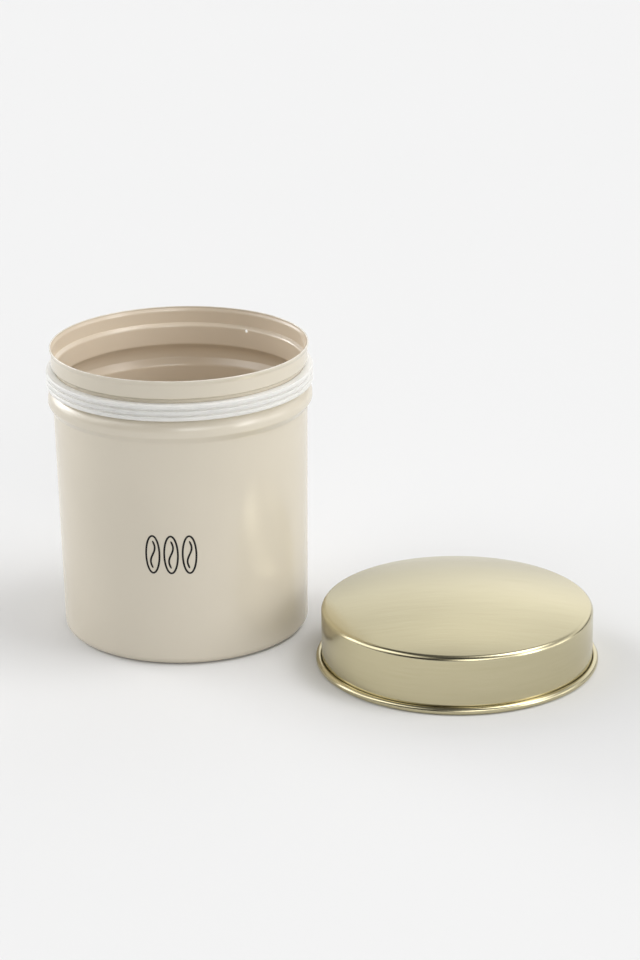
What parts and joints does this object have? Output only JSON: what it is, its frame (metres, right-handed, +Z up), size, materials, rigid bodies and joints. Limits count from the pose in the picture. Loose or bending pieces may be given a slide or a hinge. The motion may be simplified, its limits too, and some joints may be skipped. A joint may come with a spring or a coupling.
{
  "type": "coffee tin",
  "caption": "Round drawn-metal coffee canister with a silicone seal ring on its neck and a shallow domed lift-off lid.",
  "frame": {"origin": "centre of the canister's flat base, on the table it stands on", "axes": "+Z up along the canister's axis, out of its mouth; +X towards the side where the lid stands; the lid is also in front, towards -Y"},
  "size_m": [0.2196, 0.1559, 0.1195],
  "materials": {
    "cream_coat": "semi-gloss powder coat, cream",
    "silicone": "translucent white silicone, satin",
    "pale_gold_metal": "satin plated steel, pale gold"
  },
  "bodies": {
    "canister": {"canister_shell": "cream_coat", "seal_ring": "silicone"},
    "lid": {"lid_shell": "pale_gold_metal"}
  },
  "joints": [
    {"name": "lid_lift", "type": "slide", "parent": "canister", "child": "lid", "axis": [0, 0, 1], "range_m": [0, 0.15]}
  ]
}
